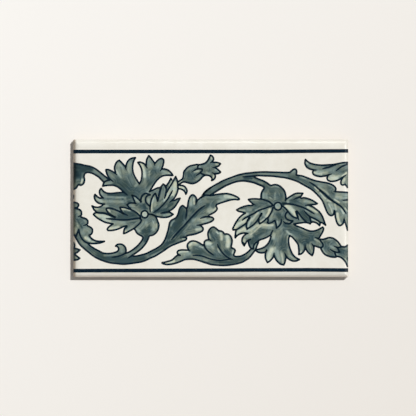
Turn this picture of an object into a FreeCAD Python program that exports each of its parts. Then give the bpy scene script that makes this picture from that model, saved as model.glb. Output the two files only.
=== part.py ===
"""Victorian border tile: one pressed and glazed ceramic slab, lying on its back.

The frame is in millimetres. +X runs along the border, +Y is up the wall, and +Z comes
out of the decorated face. The origin is the middle of the back.
"""
import FreeCAD
import Part

import math
import os

import Sketcher

# Driving dimensions of the tile, in millimetres, with the draft in degrees
SIZES = {
    "tile_length": 152.0,
    "tile_height": 76.0,
    "tile_thickness": 7.5,
    "roll_width": 3.8,
    "roll_drop": 2.3,
    "arris_radius": 0.5,
    "corner_radius": 0.8,
    "back_bevel": 0.8,
    "key_width": 3.6,
    "key_pitch": 6.4,
    "key_depth": 0.8,
    "key_margin": 6.0,
    "key_draft": 20.0,
}
ROLL_RADIUS = "(Sizes.roll_width^2 + Sizes.roll_drop^2) / (2 * Sizes.roll_drop)"
KEY_COUNT = (
    "floor((Sizes.tile_height - 2 * Sizes.key_margin - Sizes.key_width) / Sizes.key_pitch) + 1"
)
Z_AXIS = FreeCAD.Vector(0, 0, 1)
ORIGIN_POINT = (-1, 1)
START, END, CENTRE = 1, 2, 3
TOUCHING = 1e-6


def make_sheet(doc):
    """The spreadsheet that holds the driving dimensions, one alias a row."""
    sheet = doc.addObject("Spreadsheet::Sheet", "Sizes")
    for row, (alias, value) in enumerate(SIZES.items(), start=1):
        sheet.set(f"A{row}", alias)
        sheet.set(f"B{row}", str(value))
        sheet.setAlias(f"B{row}", alias)
    doc.recompute()
    return sheet


def origin_feature(body, role):
    """One of the body's own origin planes or axes."""
    return next(f for f in body.Origin.OriginFeatures if f.Role == role)


def new_sketch(body, name, plane):
    sketch = body.newObject("Sketcher::SketchObject", name)
    sketch.AttachmentSupport = [(origin_feature(body, plane), "")]
    sketch.MapMode = "FlatFace"
    return sketch


def point(x, y):
    return FreeCAD.Vector(x, y, 0)


def add_line(sketch, start, end):
    return sketch.addGeometry(Part.LineSegment(point(*start), point(*end)), False)


def add_arc(sketch, centre, radius, start_angle, end_angle):
    circle = Part.Circle(point(*centre), Z_AXIS, radius)
    return sketch.addGeometry(Part.ArcOfCircle(circle, start_angle, end_angle), False)


def join(sketch, first, second):
    sketch.addConstraint(Sketcher.Constraint("Coincident", *first, *second))


def dimension(sketch, name, kind, first, second, expression):
    """A named distance between two points, bound to the spreadsheet."""
    value = getattr(sketch.getPoint(*second) - sketch.getPoint(*first), kind[-1].lower())
    index = sketch.addConstraint(Sketcher.Constraint(kind, *first, *second, value))
    sketch.renameConstraint(index, name)
    sketch.setExpression(f"Constraints.{name}", expression)


def rounding(sketch, name, arc, radius, expression):
    """A named radius, bound to the spreadsheet."""
    index = sketch.addConstraint(Sketcher.Constraint("Radius", arc, radius))
    sketch.renameConstraint(index, name)
    sketch.setExpression(f"Constraints.{name}", expression)


def draw_footprint(sketch, sheet):
    """The tile's plan: a rectangle about the origin."""
    half_x = sheet.tile_length / 2
    half_y = sheet.tile_height / 2
    corners = [(-half_x, -half_y), (half_x, -half_y), (half_x, half_y), (-half_x, half_y)]
    sides = [add_line(sketch, corners[i], corners[(i + 1) % 4]) for i in range(4)]
    for i, side in enumerate(sides):
        join(sketch, (side, END), (sides[(i + 1) % 4], START))
        direction = "Vertical" if i % 2 else "Horizontal"
        sketch.addConstraint(Sketcher.Constraint(direction, side))
    opposite = [(sides[0], START), (sides[2], START)]
    sketch.addConstraint(Sketcher.Constraint("Symmetric", *opposite[0], *opposite[1], *ORIGIN_POINT))
    dimension(sketch, "length", "DistanceX", *[(sides[0], e) for e in (START, END)], "Sizes.tile_length")
    dimension(sketch, "height", "DistanceY", *[(sides[1], e) for e in (START, END)], "Sizes.tile_height")


def draw_roll(sketch, sheet, across):
    """What is cut from one edge of the face, so that the face rolls down to it.

    The curve leaves the flat face smoothly, one roll_width in from the edge, and would meet
    the side roll_drop lower. A small arc, the arris, eases the curve into the side.
    across is the tile's size at right angles to that edge.
    """
    edge = getattr(sheet, across) / 2
    top, width, ease = sheet.tile_thickness, sheet.roll_width, sheet.arris_radius
    radius = (width**2 + sheet.roll_drop**2) / (2 * sheet.roll_drop)
    head = (edge - width, top)
    centre = (edge - width, top - radius)
    rise = math.sqrt((radius - ease) ** 2 - (width - ease) ** 2)
    ease_centre = (edge - ease, centre[1] + rise)
    foot = (edge, ease_centre[1])
    outer_foot, outer_head = (edge + width, foot[1]), (edge + width, top)
    meeting_angle = math.atan2(rise, width - ease)

    roll = add_arc(sketch, centre, radius, meeting_angle, math.pi / 2)
    arris = add_arc(sketch, ease_centre, ease, 0, meeting_angle)
    below = add_line(sketch, foot, outer_foot)
    outside = add_line(sketch, outer_foot, outer_head)
    above = add_line(sketch, outer_head, head)
    sketch.addConstraint(Sketcher.Constraint("Tangent", arris, END, roll, START))
    join(sketch, (arris, START), (below, START))
    join(sketch, (below, END), (outside, START))
    join(sketch, (outside, END), (above, START))
    join(sketch, (above, END), (roll, END))
    sketch.addConstraint(Sketcher.Constraint("Horizontal", below))
    sketch.addConstraint(Sketcher.Constraint("Vertical", outside))
    sketch.addConstraint(Sketcher.Constraint("Horizontal", above))
    sketch.addConstraint(Sketcher.Constraint("Vertical", roll, CENTRE, roll, END))
    sketch.addConstraint(Sketcher.Constraint("Horizontal", arris, CENTRE, arris, START))
    dimension(sketch, "edge", "DistanceX", ORIGIN_POINT, (arris, START), f"Sizes.{across} / 2")
    dimension(sketch, "top", "DistanceY", ORIGIN_POINT, (roll, END), "Sizes.tile_thickness")
    dimension(sketch, "width", "DistanceX", (roll, END), (arris, START), "Sizes.roll_width")
    dimension(sketch, "clear", "DistanceX", (below, START), (below, END), "Sizes.roll_width")
    rounding(sketch, "roll_radius", roll, radius, ROLL_RADIUS)
    rounding(sketch, "arris_radius", arris, ease, "Sizes.arris_radius")


def draw_key(sketch, sheet):
    """The mouth of the lowest keying groove in the back: a round-ended slot along X."""
    radius = sheet.key_width / 2
    reach = sheet.tile_length / 2 - sheet.key_margin - radius
    count = math.floor((sheet.tile_height - 2 * sheet.key_margin - sheet.key_width) / sheet.key_pitch) + 1
    low = -(count - 1) / 2 * sheet.key_pitch
    right = add_arc(sketch, (reach, low), radius, -math.pi / 2, math.pi / 2)
    upper = add_line(sketch, (reach, low + radius), (-reach, low + radius))
    left = add_arc(sketch, (-reach, low), radius, math.pi / 2, 3 * math.pi / 2)
    lower = add_line(sketch, (-reach, low - radius), (reach, low - radius))
    loop = [right, upper, left, lower]
    for i, piece in enumerate(loop):
        following = loop[(i + 1) % 4]
        sketch.addConstraint(Sketcher.Constraint("Tangent", piece, END, following, START))
    sketch.addConstraint(Sketcher.Constraint("Horizontal", upper))
    sketch.addConstraint(Sketcher.Constraint("Equal", right, left))
    dimension(sketch, "width", "DistanceY", (lower, END), (upper, START), "Sizes.key_width")
    inner_reach = "Sizes.tile_length / 2 - Sizes.key_margin - Sizes.key_width / 2"
    dimension(sketch, "right_reach", "DistanceX", ORIGIN_POINT, (right, CENTRE), inner_reach)
    dimension(sketch, "left_reach", "DistanceX", (left, CENTRE), ORIGIN_POINT, inner_reach)
    below_middle = f"({KEY_COUNT} - 1) / 2 * Sizes.key_pitch"
    dimension(sketch, "below_middle", "DistanceY", (right, CENTRE), ORIGIN_POINT, below_middle)


def cut_both_edges(body, name, plane, across, mirror_plane, sheet):
    """Rolls the face down along one edge and along the edge opposite."""
    doc = body.Document
    sketch = new_sketch(body, f"{name}_section", plane)
    draw_roll(sketch, sheet, across)
    cut = body.newObject("PartDesign::Pocket", f"{name}_cut")
    cut.Profile = sketch
    cut.SideType = "Symmetric"
    cut.Type = "ThroughAll"
    doc.recompute()
    both = body.newObject("PartDesign::Mirrored", f"{name}_both")
    both.Originals = [cut]
    both.MirrorPlane = (origin_feature(body, mirror_plane), [""])
    body.Tip = both
    doc.recompute()


def edges_where(shape, wanted):
    return [f"Edge{i}" for i, edge in enumerate(shape.Edges, start=1) if wanted(edge)]


def dress_edges(body, kind, name, edges, size_property, expression):
    """A fillet or chamfer of the named edges of the body's tip."""
    base = body.Tip
    feature = body.newObject(kind, name)
    feature.Base = (base, edges)
    feature.setExpression(size_property, expression)
    body.Tip = feature
    body.Document.recompute()


def is_upright(edge):
    """True for a straight edge that runs up the tile's side."""
    ends = [v.Point for v in edge.Vertexes]
    return len(ends) == 2 and abs((ends[1] - ends[0]).normalize().z) > 1 - TOUCHING


def is_on_back(edge):
    return edge.BoundBox.ZMax < TOUCHING


def build_tile(doc, sheet):
    body = doc.addObject("PartDesign::Body", "border_tile")
    body.Label = "border_tile"

    # The slab, with its upright corners eased
    footprint = new_sketch(body, "footprint", "XY_Plane")
    draw_footprint(footprint, sheet)
    slab = body.newObject("PartDesign::Pad", "slab")
    slab.Profile = footprint
    slab.setExpression("Length", "Sizes.tile_thickness")
    doc.recompute()
    corners = edges_where(slab.Shape, is_upright)
    dress_edges(body, "PartDesign::Fillet", "corners", corners, "Radius", "Sizes.corner_radius")

    # The face rolls down to all four edges, with a softened arris, and the rolls meet in mitres
    cut_both_edges(body, "long_roll", "YZ_Plane", "tile_height", "XZ_Plane", sheet)
    cut_both_edges(body, "end_roll", "XZ_Plane", "tile_length", "YZ_Plane", sheet)

    # The bevel round the back, and the drafted grooves that key it to the adhesive
    back = edges_where(body.Tip.Shape, is_on_back)
    dress_edges(body, "PartDesign::Chamfer", "back_edge", back, "Size", "Sizes.back_bevel")
    mouth = new_sketch(body, "key_mouth", "XY_Plane")
    draw_key(mouth, sheet)
    groove = body.newObject("PartDesign::Pocket", "key_groove")
    groove.Profile = mouth
    groove.Reversed = True
    groove.setExpression("Length", "Sizes.key_depth")
    groove.setExpression("TaperAngle", "-Sizes.key_draft")
    doc.recompute()
    grooves = body.newObject("PartDesign::LinearPattern", "key_grooves")
    grooves.Originals = [groove]
    grooves.Direction = (origin_feature(body, "Y_Axis"), [""])
    grooves.Mode = "Spacing"
    grooves.setExpression("Offset", "Sizes.key_pitch")
    grooves.setExpression("Occurrences", KEY_COUNT)
    body.Tip = grooves
    doc.recompute()
    return body


def check(doc, part):
    """Stops before anything is written if a feature failed or the solid isn't sound."""
    failed = [o.Name for o in doc.Objects if {"Invalid", "Error"} & set(o.State)]
    if failed:
        raise RuntimeError(f"these features failed: {failed}")
    shape = part.Shape
    if shape.isNull() or not shape.isValid() or len(shape.Solids) != 1:
        raise RuntimeError(f"{part.Label} isn't one valid solid")


def main():
    doc = FreeCAD.newDocument("border_tile")
    sheet = make_sheet(doc)
    tile = build_tile(doc, sheet)
    check(doc, tile)
    os.makedirs("parts", exist_ok=True)
    tile.Shape.exportStep(f"parts/{tile.Label}.step")
    box = tile.Shape.BoundBox
    print(f"{tile.Label}: {box.XLength:.2f} x {box.YLength:.2f} x {box.ZLength:.2f} mm")
    print(f"volume {tile.Shape.Volume:.0f} mm3, {len(tile.Shape.Faces)} faces")


main()
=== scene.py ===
"""A glazed border tile on a pale floor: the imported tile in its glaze, and the painted scroll on it."""
import math

import bpy
import numpy as np
from mathutils import Color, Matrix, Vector, noise
from mathutils.bvhtree import BVHTree
from mathutils.geometry import delaunay_2d_cdt
from mathutils.kdtree import KDTree


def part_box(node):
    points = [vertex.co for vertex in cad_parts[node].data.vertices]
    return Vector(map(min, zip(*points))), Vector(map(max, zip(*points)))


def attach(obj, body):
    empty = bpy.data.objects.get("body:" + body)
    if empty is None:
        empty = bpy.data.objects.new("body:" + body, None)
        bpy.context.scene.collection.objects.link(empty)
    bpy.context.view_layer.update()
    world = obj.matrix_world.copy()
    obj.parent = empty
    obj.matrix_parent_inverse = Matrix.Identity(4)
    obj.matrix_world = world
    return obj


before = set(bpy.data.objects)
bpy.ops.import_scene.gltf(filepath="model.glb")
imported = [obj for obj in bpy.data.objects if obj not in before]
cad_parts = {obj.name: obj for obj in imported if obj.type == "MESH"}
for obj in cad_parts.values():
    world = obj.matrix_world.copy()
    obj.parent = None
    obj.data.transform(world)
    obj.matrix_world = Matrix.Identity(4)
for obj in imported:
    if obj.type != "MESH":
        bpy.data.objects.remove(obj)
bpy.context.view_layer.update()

MM = 0.001
TILE = "border_tile"

# Camera: straight above the face, as the photograph looks at it
PHOTO_SIDE_PX = 416
FACE_WIDTH_PX = 275.4
FACE_CENTRE_PX = (210.7, 208.3)
LENS_MM = 400.0
SENSOR_MM = 36.0

# Light: a small sun from the upper right over an even sky
SUN_LEAN = (0.33, 0.35)
SUN_WIDTH = math.radians(1.2)
SUN_SHARE = 0.74
SKY_SHARE = 0.25
SKY_COLOUR = (1.0, 1.0, 1.0, 1.0)

# Highlight card: a long low white card at the upper right, seen only as a reflection in the rolled edges
CARD_SIZE = (2.2, 0.5)
CARD_DISTANCE = 1.1
CARD_RISE = math.radians(26)
CARD_RADIANCE = 7.0

# Paint: a line's usual width, how far lines and wash stand on the glaze and reach into it, and how finely
# they are drawn, in millimetres
LINE_WIDTH = 1.02
LINE_RISE = 0.08
WASH_RISE = 0.045
PAINT_SINK = 0.03
LINE_STEP = 0.45
WASH_STEP = 0.36

# Line ends: where paint stops at the tile's ends and the margin there in which lines don't thin, how near a
# line touches another, and the length over which a line that touches none thins, in millimetres, to a share
# of its width
PAINT_END = 75.85
END_MARGIN = 0.8
TOUCH = 0.9
TAPER_LENGTH = 1.7
FREE_END_WIDTH = 0.55

# Border lines: their width and the points that they pass through, in millimetres from the middle of the
# face
BORDER_LINE_WIDTH = 2.05
BORDER_LINES = {
    "border_line_upper": [
        (-PAINT_END, 31.32), (-14, 31.35), (22, 31.34), (36, 31.34), (48, 31.49), (PAINT_END, 31.69)],
    "border_line_lower": [
        (-PAINT_END, -34.42), (-55, -34.35), (-14, -34.22), (22, -34.05), (48, -33.97), (62, -34),
        (PAINT_END, -34.12)],
}

# Colours of the glaze, body and paint, as they look on screen
SCREEN_MAX = 255.0
BISCUIT = (178, 165, 146)
BISCUIT_DARK = (164, 150, 130)
CREAM_DARK = (232, 228, 216)
CREAM_PALE = (239, 236, 226)
SPECK = (176, 158, 132)
# Painted shade: the colours laid over the left and lower rims, which face away from the light
PAINTED_LEFT_SHADE = (178, 168, 158)
PAINTED_LOWER_SHADE = (238, 230, 226)
NAVY = (10, 31, 44)
THIN_NAVY = (24, 46, 59)
DEEP = (24, 44, 52)
SLATE = (63, 82, 85)
SAGE = (145, 157, 149)
PALE = (202, 207, 192)
WARM_TINT = (1.0, 0.98, 0.87)
COOL_TINT = (0.9, 0.98, 1.0)
# Floor colours at the upper left and lower right: painted shade, a fall-off of light darker towards the
# lower right
FLOOR_UPPER_LEFT = (250, 247, 242)
FLOOR_LOWER_RIGHT = (236, 231, 224)

# The drawings below are read a little off the tile's own middle and scale, which these put right
READ_STRETCH = np.array([0.9955, 1.0035])
READ_SHIFT = np.array([0.26, 0.304])

# The scroll, drawn in millimetres from the middle of the face. A row that starts with a name is one
# brush line: its name, its width in line widths where it isn't 1, and the points that it passes through. A
# fill row chains lines into one closed patch of wash, a minus sign turning a line round, and patches lie
# over the patches above them. A row that starts with numbers is one pass of the wash: its tone, its half
# width and its path. Tone 0 is slate, 1 sage and 2 the palest green, and later passes cover earlier ones.
DRAWINGS = {
    "left_stem": """
top: -77,24.5 -73,24 -70,23.3 -67,22.7 -64,21.3 -61,19 -58,16.6 -56.9,15.7
under: -59.4,13.9 -62,16.6 -64,18 -66,19 -68,19.5 -69.3,19.3 -70.2,18.4 -70.5,17 -70.2,15.5 -70.6,13.6
 -71.6,12.6 -72.6,12.4 -73.3,12.8 -74,12.2 -75,10.8 -77,9.9
join 0: -56.4,15.2 -58.8,14.2
edge_dot .6: -76.3,6.9 -76.2,6 -76.3,5.1
fill: top join under
-1 3: -76.5,22 -75.5,18
-.5 1.5: -73,22.6 -67,21.6
.5 1.2: -64,19.6 -59,16.2
.25 1.5: -74,15 -74,13.8
-.5 1: -72.7,20.6 -70.2,20.5
1.9 .45: -71.4,15.6 -71.9,13.8
""",
    "main_stem": """
edge_leaf_a: -77,3.2 -75.2,2.9 -74.2,2.5 -73.5,1.8 -73.6,1 -74.2,.2 -75.4,-.1
edge_leaf_b: -75.6,-.2 -73.8,-.7 -72.6,-1.3 -72,-2 -71.9,-3.1 -72.1,-4.2 -73.7,-4.9
edge_leaf_c: -72.3,-5 -71.3,-5.4 -70.1,-5.8 -69,-6.4 -68.4,-7.3 -68.4,-8.3 -68.8,-9.1 -70.8,-9.8
edge_leaf_d: -68.5,-9.9 -67,-10.7 -66,-11.6 -65.8,-12.6 -66,-13.7 -66.7,-14.7 -67.6,-15.1 -67.3,-15.8
 -66.3,-16.9 -64.8,-17.9 -63,-18.4 -61,-18.5 -59.2,-18.5
edge_leaf_e: -59.2,-18.5 -60.8,-19.1 -62.5,-19.5 -64.5,-19.7 -66.8,-19.6 -68.6,-19.3 -70.2,-18.5 -71.5,-17.2
 -72.4,-15.7 -73,-14 -73.4,-12
edge_vee: -77,-14.5 -74.9,-15.6 -73.6,-12.6
edge_mark: -76.3,-19.3 -75.7,-20.5 -76,-22.2
edge_bud_a: -77,-22.2 -76.1,-22.3 -74.5,-22.6 -72.8,-23.2 -74,-24.3 -75.7,-25.3
edge_bud_b: -75.7,-25.6 -74.5,-26.6 -72.9,-27.8 -74.2,-28.6 -77,-28.9
stem_outer: -75.5,-15.6 -74.6,-17.2 -73.4,-19.3 -72,-21 -70,-22.8 -68,-24.4 -66,-26 -64,-27.3 -62,-28.3
 -60,-29.1 -57.5,-29.9 -55,-30.4 -52,-30.7 -48.5,-31 -45,-30.7 -42,-30.3 -39,-29.8 -36.5,-29 -34,-27.8
 -31,-26.5 -28.5,-25 -26,-23.4 -24,-22 -22,-20.8 -20,-20 -17.5,-19 -15.5,-18.3 -14.2,-17.8 -13.6,-17
 -13.9,-16.2 -15.8,-16.4
stem_inner: -68.2,-19.8 -67,-21 -65.5,-22 -64,-22.9 -62,-23.9 -60.5,-24.7 -59,-25.1 -57,-25.2 -55,-25
 -53,-24.5 -51.8,-23.8 -51.3,-22.9 -51.4,-22 -52.1,-21.3 -52.9,-21.1
ball_end: -52.9,-21.1 -52.2,-20.3 -50.8,-20 -49.4,-20.2 -48.3,-20.9 -47.5,-22 -47.2,-23.4 -47.4,-24.8
stem_line: -47.6,-25 -49.5,-26 -52,-26.8 -55,-27.2
stem_rise: -43.2,-26.7 -41,-26.5 -38.5,-25.9 -36,-25.2 -34,-24.2 -32,-23.2 -29.9,-22.1 -27.9,-20.7 -26.5,-19
 -25.3,-16.8 -24.5,-14.4 -23.8,-12.1 -23.4,-10 -22.9,-8.1 -22,-6.9 -21,-6.3 -19.8,-5.7 -19,-4.8
leaf_lobe_a: -19,-4.8 -18.3,-3.4 -17.8,-1.4 -17.2,0 -16.4,1 -15.8,1.2 -15.1,.7 -13.7,-.5 -13.5,-2 -13.8,-4
 -14.1,-5.8
leaf_lobe_b: -13.7,-.6 -13.1,.5 -12.8,2.5 -12.4,4.4 -11.7,6 -10.9,6.9 -10,7.1 -9.2,6.6 -8.5,5.7 -8.1,4.3
 -8.5,1.5
leaf_lobe_c: -8,3.4 -7.6,4.1 -6.5,5 -5.3,6 -4.5,6.2 -3.5,6.9 -2,6.9 -.5,6.7 1,6.8 2.5,7.2 4.5,7.5 6.5,7.7
 8.5,7.8 10.3,7.5 12,7 13.6,6.3 15,5.5 15.6,4.7
leaf_lobe_d: 15.6,4.7 14.8,4.4 13.5,4.6 12,4.5 10,4.1 8,3.5 6,2.9 4.3,2.3 3.1,1.7 2.7,1 3.1,.2 3.3,-.5
 3,-1.3 2,-2.3 .5,-3.2 -1,-4 -1.8,-4.8 -3.5,-5 -6,-5.9
leaf_lobe_e: -1.5,-5 -.2,-5.1 .9,-5.5 1.4,-6.2 1,-6.9 0,-7.6 -1.7,-8.3 -3.5,-8.8 -6.3,-9.5 -8,-9.6
leaf_lobe_f: -6,-9.7 -5.2,-10.3 -4.5,-11.3 -4.5,-12.1 -5.3,-13 -7,-13.8 -9,-14.5 -11,-14.9 -12.8,-15.2
 -13.8,-15.7
leaf_midrib: -3.4,1.2 -4.5,.5 -6,-.5 -7.5,-1.8 -9,-3.3 -10.5,-4.9 -12,-6.5 -13.5,-8.2 -15,-9.9 -16.7,-11.6
 -18.3,-13.4 -19.8,-15 -21,-16.4 -22,-17.6
stem_close 0: -77,3.2 -77,-6 -77,-14.5
bud_close 0: -77,-22.2 -77,-28.8
stem_top 0: -68.2,-19.8 -70.2,-18.5 -71.5,-17.2 -72.4,-15.7 -73,-14 -73.6,-12.5 -74.9,-15.4 -75.5,-15.6
fill: edge_leaf_a edge_leaf_b edge_leaf_c edge_leaf_d edge_leaf_e -edge_vee -stem_close
fill: bud_close -edge_bud_b -edge_bud_a
fill: stem_outer -leaf_lobe_f -leaf_lobe_e -leaf_lobe_d -leaf_lobe_c -leaf_lobe_b -leaf_lobe_a -stem_rise
 -ball_end -stem_inner stem_top
.7 .8: -75,1.8 -75,1
.8 1.2: -73.8,-2.2 -73.6,-3.2
.2 1.4: -72,-6.5 -72,-7.5
.6 .7: -70,-7 -69,-8.3
1.1 .45: -74.9,-7.6 -73.8,-10.4
-.1 .4: -74.4,-6.3 -72.2,-10.1 -70.2,-13.4
.7 1.3: -69.5,-11.5 -71,-13.5
.85 .9: -68,-11.8 -67.4,-13.2
1.9 .8: -69.5,-16.5 -67.5,-17.8
1.6 .4: -66.5,-18.6 -64.8,-18.7
.4 1: -75.5,-5 -75.5,-9.5
1.3 .8: -75.3,-11.5 -75.3,-13.5
.5 1: -75,-23 -75,-24
1.2 .6: -75,-27.2 -74.5,-27.6
.2 .7: -74.3,-16 -72.5,-18.5
.6 .8: -71.5,-18.5 -69,-21
.2 1.4: -68,-22 -64,-24.8
-.15 2: -62,-26.3 -56,-27.9 -50,-28.9 -44,-29 -38,-28.2
-.1 1.5: -33,-25.8 -28,-22.7 -25,-20.5
.6 .6: -33,-26.7 -27,-23.7
1.1 .7: -51,-20.8 -49.5,-21.5
.8 .8: -49.6,-22 -50,-24
.3 .8: -51.5,-25 -50.5,-25
.5 .7: -59,-26 -52,-25.8
-.4 2.2: -20.6,-11 -18,-8 -16.5,-3
-.15 1.4: -23.2,-16 -22.2,-14
-.15 1: -16,-.5 -16,-3
.9 .35: -22.4,-10 -21.6,-8 -20.5,-7
1.1 .9: -11.3,4.8 -11.2,2
1.9 .35: -9.6,5.3 -9.4,2
0 1.4: -12,-1 -10.5,-1.2
.2 .6: -13,-4 -11.5,-5
.2 .5: -14.5,-6.5 -13.5,-7.3
.45 2: -6,3 -3,4.5 0,4.5 3,5.2
.3 1.2: -1,3 1.5,3
.8 .6: -7,4 -6.4,4.6
.9 1: 5.5,5.8 7.5,5.2
2 .8: 8,6.3 12,5.7
1.9 .4: 12,5.6 14.5,5
1 .6: 4,3.2 6.5,4
1.7 .6: 7.5,6.4 9,6.1
.2 1.4: -3,0 -4.5,-2.5
1 1: -1.5,-1.5 0,-.8
1.8 .5: .5,-2.2 1.8,-1 2.5,-.3
1.3 .5: -1,-2.8 .5,-1.8
.5 .8: -5.5,-4 -3.5,-3.8
.4 1.2: -6,-2.9 -4,-1.6
-.1 .8: -19,-15.5 -13,-8.6 -7,-1.9 -1.5,1.8
.9 1.2: -9.5,-7 -6,-6.5
.6 .8: -12,-9.5 -9,-9
.3 1: -13,-12 -10,-11.5
1.2 .8: -4.8,-7.6 -1.2,-6.9
1.5 .4: -6.5,-6.3 -3,-6.1
.9 .5: -1,-6.2 .6,-6.1
1.7 .8: -6,-11.7 -8,-12
.5 .6: -10,-13.4 -12.5,-14
.3 1.2: -13.5,-12 -11,-11
0 1: -16.5,-14.5 -18.5,-16.5 -22,-18.7
-.4 .7: -21,-18 -24,-19.5
-.6 .5: -15,-15.9 -17,-16.6
1.2 .4: -15.8,-17.2 -14.8,-17.2
""",
    "flower_stalk": """
right: -34.5,-3.5 -32.5,-3.8 -31,-4.6 -30.2,-6 -29.5,-7.8 -29,-9.5 -29.3,-11.5 -30.2,-13.3 -31.5,-14.5
 -32.8,-15.2 -33.8,-15.3 -34.5,-16 -35,-17.3 -36,-19.2 -37.5,-21.2 -39.3,-23 -41.3,-24.5 -43.5,-26
 -44.8,-26.9 -46.2,-27.7
left: -42.6,-11.5 -42,-12.4 -41.2,-13.8 -40,-14.8 -38.6,-15.5 -37.9,-16.2 -38.1,-17.4 -39,-18.9 -40.5,-20.6
 -42.3,-22.2 -44.2,-23.6 -46,-24.6 -47.3,-25
fill: right -left
.6 1.6: -38,-8 -39.5,-11
1.2 .7: -41.3,-11.8 -40.2,-13
.9 .7: -36,-8 -35.5,-10
-.3 1.2: -37.5,-13.2 -35.8,-12.8
-.2 1: -34.5,-11 -34.5,-13
1.1 .8: -32,-8 -31.8,-12
1.4 .4: -30.4,-9 -30.5,-11
-.3 1.2: -35.8,-15.5 -36.5,-18.3
.4 1: -38,-19.5 -41,-22.5
.6 .9: -43,-24 -46,-25.5
""",
    "left_flower": """
heart 0: -50,8.6 -44,12 -39.8,13.2 -34.2,8.9 -29.7,3.8 -29.5,-1 -33,-4 -36,-6.5 -39.2,-7.4 -44,-3 -50,2
 -56,4
base: -60.1,11.9 -59.7,13.2 -59,14.3 -57.5,15 -56.2,15.3
petal_a: -54.4,14.4 -56.5,16.3 -57.6,18.2 -58.4,20.9 -57.3,21 -55.5,20.4 -53.8,19.4 -52.2,18.1
petal_b: -53,19 -53.1,19.8 -53.6,21.6 -53.2,23.6 -52.2,25.3 -51,26.1 -50,25.2 -48.6,23.7 -47.5,22.4
 -47.1,20.7
petal_c: -47.4,22 -47.2,22.8 -46.9,24.2 -46,25.9 -44.8,26.9 -43.3,27.4 -42,27.5 -42.8,26 -43.4,24 -43.6,21.5
 -43.2,19.2 -42.2,16.9 -41,14.9 -39.8,13.2
petal_under: -60.1,11.9 -58.5,12.2 -56,12.4 -54,12.3 -52.5,11.8 -51,10.9 -49.5,9.6 -48,8.2 -46.5,7
petal_d: -39.8,13.2 -39,14.5 -38.5,16.5 -38.3,19 -38.6,21.3 -39.4,23.1 -40.6,24.9 -39.5,25.1 -38,24.6
 -36.8,23.9 -35.5,21.9
petal_e: -36.2,23 -36,23.5 -35.9,25.3 -35.5,27 -34.6,28.6 -33.6,27.6 -32.4,26 -31.5,24.7 -31.2,23.2
petal_f: -31.4,24.2 -30.8,24.8 -29.8,25.9 -28.6,26.8 -27.4,27.1 -26.5,26.5 -26.3,25.2 -26.7,23.4 -27.3,21.7
 -28.2,20.2
petal_g: -27.4,21.3 -25.8,21.3 -24.3,20.9 -23,20 -21.9,18.9 -21.3,17.8 -22.5,17.8 -24.5,17.9 -26.5,17.6
 -28.2,16.8 -29.8,15.4 -31.3,13.5 -32.8,11.2 -34.2,8.9
petal_h: -34.2,8.9 -32,9.8 -30,10.8 -28,11.1
petal_i: -48.9,8.5 -50,8.4 -52.5,8.2 -55,7.9 -57.5,8 -59.2,8.7 -60.2,9.6 -61,10.6 -61.7,9.8 -61.9,8.4
 -61.5,7.1 -60.7,6.2 -59.9,5.4
petal_j: -60.4,5.6 -61.3,5.3 -62.7,5.8 -64.4,7.3 -64.8,6.2 -64.5,4.8 -63.7,3.5 -62.5,2.6 -61,2.2 -59.2,2
petal_k: -59.8,1.8 -60.3,1.3 -61.6,.5 -63,.2 -64.6,.4 -66,1 -65.5,0 -64.8,-1.2 -63.4,-2.5
side_a: -63.5,-2.6 -64.8,-3.1 -65.2,-3.7 -64.3,-4.6 -62.8,-5.8 -61,-6.9 -59,-7.9 -57,-8.4 -54.4,-8.9
side_b: -54.8,-9 -55.4,-9.5 -56.8,-10.6 -57.6,-11.8 -57.3,-12.4 -56,-12.5 -54,-12.3 -52,-11.8 -50,-11
 -48.3,-10.2 -46.8,-10
side_c: -47,-10.2 -47.8,-11.2 -48.3,-12.4 -48.5,-14.2 -47.2,-13.8 -45.5,-12.9 -42.8,-11.4 -41.4,-10.2 -40,-9
 -38.9,-7.6 -38.8,-6.6 -39.6,-5.8
side_line 1.2: -63.5,-2.6 -62,-2.8 -60,-2.9 -58.5,-3.2 -56,-4.2 -53.3,-5.2
side_lobe_a: -53.5,-5.1 -56,-3.6 -57.4,-2.2 -58.2,-.9 -58,-.3 -56.5,-.2 -54.5,-.6 -52.7,-1.3 -51,-2
 -49.5,-2.8 -46.3,-4.2
side_lobe_b: -48.8,-3.1 -49.6,-2 -50.2,-.8 -50.5,.2 -48.8,.2 -47,-.2 -45.5,-.7 -44,-1.2 -42,-2.3 -40.2,-3.8
 -39.2,-5
side_rib: -58.2,-6 -56.5,-6.1 -54,-6.3 -51,-6.6 -48,-6.7 -46,-6.6 -44,-6.3 -42,-6 -39,-5.6
centre_a: -44.8,-.4 -45.6,.3 -46.6,1.6 -45.6,2.4 -44.2,2.7 -41.8,2.4
centre_b: -42.3,2.7 -42.7,4 -43.3,5.4 -43.8,6.8 -41.8,6.1 -40.8,5.2 -39.8,4.4 -38.8,3.4
centre_c: -39,3.2 -38.9,4.8 -38.4,6.3 -37.4,7.4 -36.2,7.9 -35,7.6 -33.8,7.1
centre_curl: -34,7.1 -35.2,6.7 -36,5.9 -36.4,4.6 -36.2,3.2 -35.5,2.2 -33.9,.8
centre_tall: -33.7,-2.3 -33.9,-.5 -33.7,1.5 -33.4,3.5 -32.7,5.5 -31.9,7 -31,7.9 -30.5,6.8 -30.1,5.3 -29.8,4
right_a: -28,11.1 -27.2,12.3 -26.5,13 -26,12.6 -25.2,11.9 -24.4,12.7 -23.3,14.2 -22.4,16.1 -21.9,15.4
right_b: -19.7,17.1 -20.6,15.5 -21.5,13.8 -22.6,12 -23.6,10.4 -24.4,8.8
right_edge 1.2: -27.8,11 -28.3,9.5 -28.8,7.5 -29.3,5.5 -29.7,3.8
right_c: -19.7,17.1 -19.2,16 -18.8,14.8 -18.6,13.5 -18.5,12 -18.4,10.5 -18.8,8.5 -19.7,6.5 -20.5,5.3
 -21.3,4.4 -23,3
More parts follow.
